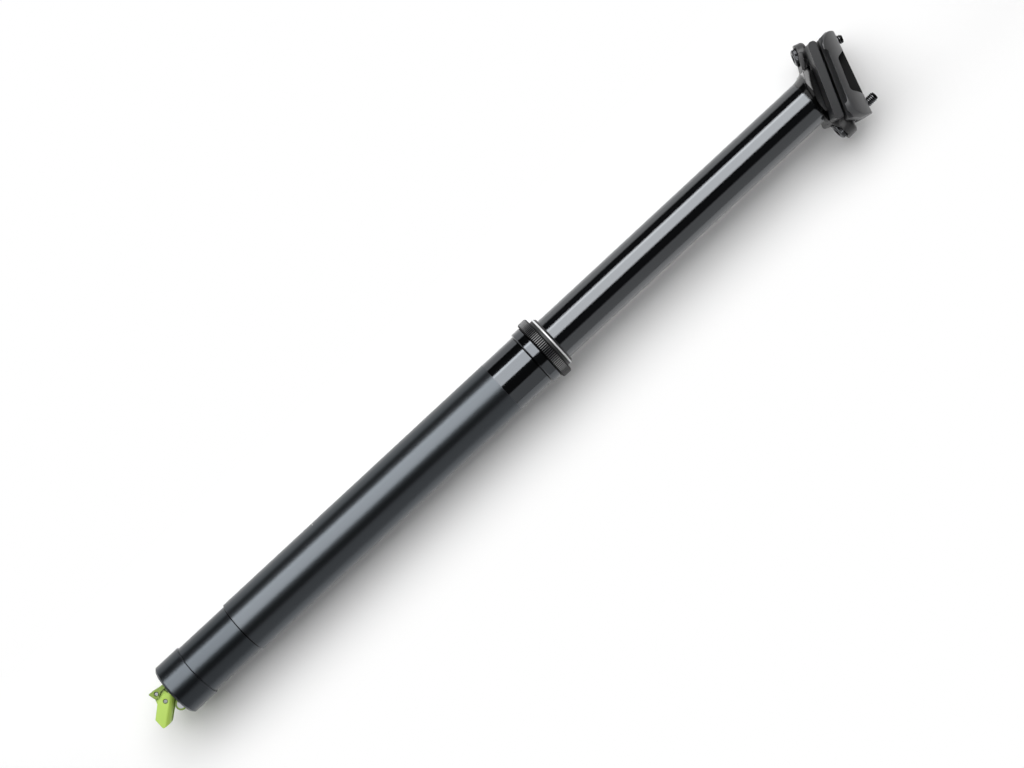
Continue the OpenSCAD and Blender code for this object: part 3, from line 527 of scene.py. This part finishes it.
def pin_mesh(name, half):
    """A cross pin with chamfered ends, each with a small centre dimple."""
    end = [
        (PIN_DIMPLE_R / 2, half - PIN_DIMPLE),
        (PIN_DIMPLE_R, half),
        (PIN_R - PIN_CHAMFER, half),
        (PIN_R, half - PIN_CHAMFER),
    ]
    return turned_mesh(name, end + [(r, -z) for r, z in reversed(end)], PIN_SIDES)


def add_piece(node, mesh, body, slot, finishes, place):
    """A finer form of a CAD piece, which rides with its body and takes its place in the picture."""
    piece = bpy.data.objects.new(mesh.name, mesh)
    bpy.context.scene.collection.objects.link(piece)
    mesh.materials.append(finishes[slot])
    piece.matrix_world = place
    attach(piece, body)
    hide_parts(node)


def add_fine_pieces(finishes):
    for node, (body, centre, lean) in BOLTS.items():
        place = Matrix.Translation(centre) @ Matrix.Rotation(lean, 4, "Y")
        add_piece(node, bolt_mesh(node + "_threaded"), body, "bolt_steel", finishes, place)
    for node, (body, centre, half) in PINS.items():
        place = Matrix.Translation(centre) @ Matrix.Rotation(math.pi / 2, 4, "X")
        add_piece(node, pin_mesh(node + "_chamfered", half), body, "steel", finishes, place)
    add_piece("seal_collar", collar_mesh("collar_knurled"), "outer", "collar_black", finishes, Matrix())


def dress(frame, finishes):
    for part in frame["record"]["subparts"]:
        node = frame["nodes"][part["node"]]
        node.data.materials.clear()
        node.data.materials.append(finishes[part["material_slot"]])


def floor_material():
    """Pale floor that shows white and keeps the shadow.

    It is seen from its front side only, and the lamp behind it shines through."""
    n = Nodes("floor")
    path = n.add("ShaderNodeLightPath").outputs
    seen = n.math("MAXIMUM", n.math("MAXIMUM", path["Is Camera Ray"], path["Is Glossy Ray"]),
                  path["Is Transmission Ray"])
    tone = n.mix(n.noise(3.0, detail=2.0), rgb(0.88, 0.88, 0.88), rgb(0.9, 0.9, 0.9))
    pale = n.add("ShaderNodeBsdfDiffuse", {"Color": tone})
    glow = n.add("ShaderNodeEmission", {"Color": rgb(1, 1, 1), "Strength": 1.0})
    x = n.split(n.place())[0]
    fade = {"Value": n.math("ABSOLUTE", x), "From Min": SHADOW_FROM, "From Max": SHADOW_TO,
            "To Min": SHADOW_GLOW, "To Max": 1.0}
    away = n.add("ShaderNodeMapRange", fade, interpolation_type="SMOOTHSTEP")
    lit = n.add("ShaderNodeMixShader", {0: n.math("MULTIPLY", seen, away.outputs[0]),
                                        1: pale.outputs[0], 2: glow.outputs[0]})
    behind = n.add("ShaderNodeNewGeometry").outputs["Backfacing"]
    clear = n.add("ShaderNodeBsdfTransparent")
    both = n.add("ShaderNodeMixShader", {0: n.math("MAXIMUM", behind, path["Is Shadow Ray"]),
                                         1: lit.outputs[0], 2: clear.outputs[0]})
    n.put(n.tree.nodes["Material Output"].inputs["Surface"], both.outputs[0])
    n.tree.nodes.remove(n.shader)
    return n.material


def add_floor():
    half = FLOOR_SIZE / 2
    outline = [(-half, FLOOR_Y, -half), (half, FLOOR_Y, -half), (half, FLOOR_Y, half), (-half, FLOOR_Y, half)]
    mesh = bpy.data.meshes.new("floor")
    mesh.from_pydata(outline, [], [(0, 1, 2, 3)])
    floor = bpy.data.objects.new("floor", mesh)
    bpy.context.scene.collection.objects.link(floor)
    mesh.materials.append(floor_material())


def add_panel(name, start, end, side, radiance):
    """A long lamp beside the post, from one angle to another, which are counted from the camera."""
    middle = math.radians((start + end) / 2)
    half = math.radians((end - start) / 2)
    width = 2 * PANEL_DISTANCE * math.tan(half)
    lamp = bpy.data.lights.new(name, "AREA")
    lamp.shape = "RECTANGLE"
    lamp.size = width
    lamp.size_y = PANEL_LENGTH
    lamp.energy = radiance * math.pi * width * PANEL_LENGTH
    panel = bpy.data.objects.new(name, lamp)
    bpy.context.scene.collection.objects.link(panel)
    towards = Vector((-side * math.sin(middle), math.cos(middle), 0))
    along = Vector((0, 0, 1))
    across = towards.cross(along)
    turn = Matrix((across, along, -towards)).transposed().to_4x4()
    panel.matrix_world = Matrix.Translation(-PANEL_DISTANCE * towards) @ turn


def add_world():
    """Dim light from everywhere; the backdrop shows white, and mirrors of it on the floor's side too."""
    world = bpy.data.worlds.new("studio")
    bpy.context.scene.world = world
    world.use_nodes = True
    tree = world.node_tree
    back = tree.nodes["Background"]

    def calc(operation, *values):
        node = tree.nodes.new("ShaderNodeMath")
        node.operation = operation
        for socket, value in zip(node.inputs, values):
            tree.links.new(value, socket)
        return node.outputs[0]

    def span(value, **limits):
        node = tree.nodes.new("ShaderNodeMapRange")
        tree.links.new(value, node.inputs["Value"])
        for key, limit in limits.items():
            node.inputs[key.replace("_", " ")].default_value = limit
        return node.outputs[0]

    path = tree.nodes.new("ShaderNodeLightPath").outputs
    axes = tree.nodes.new("ShaderNodeSeparateXYZ")
    tree.links.new(tree.nodes.new("ShaderNodeTexCoord").outputs["Generated"], axes.inputs[0])
    floor_side = span(axes.outputs["Y"], From_Min=WHITE_FROM, From_Max=WHITE_TO)
    indirect = calc("ADD", path["Is Glossy Ray"], path["Is Transmission Ray"])
    white = calc("ADD", path["Is Camera Ray"], calc("MULTIPLY", indirect, floor_side))
    tree.links.new(span(white, To_Min=WORLD_LIGHT, To_Max=1.0), back.inputs["Strength"])
    back.inputs["Color"].default_value = rgb(1, 1, 1)


def add_camera():
    data = bpy.data.cameras.new("camera")
    data.lens = LENS_MM
    data.sensor_width = SENSOR_MM
    camera = bpy.data.objects.new("camera", data)
    bpy.context.scene.collection.objects.link(camera)
    right = Vector((math.sin(POST_SLOPE), 0, math.cos(POST_SLOPE)))
    up = Vector((-math.cos(POST_SLOPE), 0, math.sin(POST_SLOPE)))
    turn = Matrix((right, up, right.cross(up))).transposed().to_4x4()
    camera.matrix_world = Matrix.Translation((CAMERA_X, -CAMERA_DISTANCE, CAMERA_Z)) @ turn
    bpy.context.scene.camera = camera


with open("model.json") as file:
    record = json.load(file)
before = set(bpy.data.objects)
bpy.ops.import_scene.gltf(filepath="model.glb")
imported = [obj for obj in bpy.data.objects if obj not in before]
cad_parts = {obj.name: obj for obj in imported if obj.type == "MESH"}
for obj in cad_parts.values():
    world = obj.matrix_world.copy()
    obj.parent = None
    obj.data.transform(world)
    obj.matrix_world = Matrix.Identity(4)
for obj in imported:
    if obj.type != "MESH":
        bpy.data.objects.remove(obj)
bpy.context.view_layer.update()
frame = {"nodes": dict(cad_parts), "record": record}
finishes = materials()
dress(frame, finishes)
add_fine_pieces(finishes)
add_floor()
for panel in PANELS:
    add_panel(*panel)
add_world()
add_camera()
bpy.context.scene.view_settings.view_transform = "Standard"
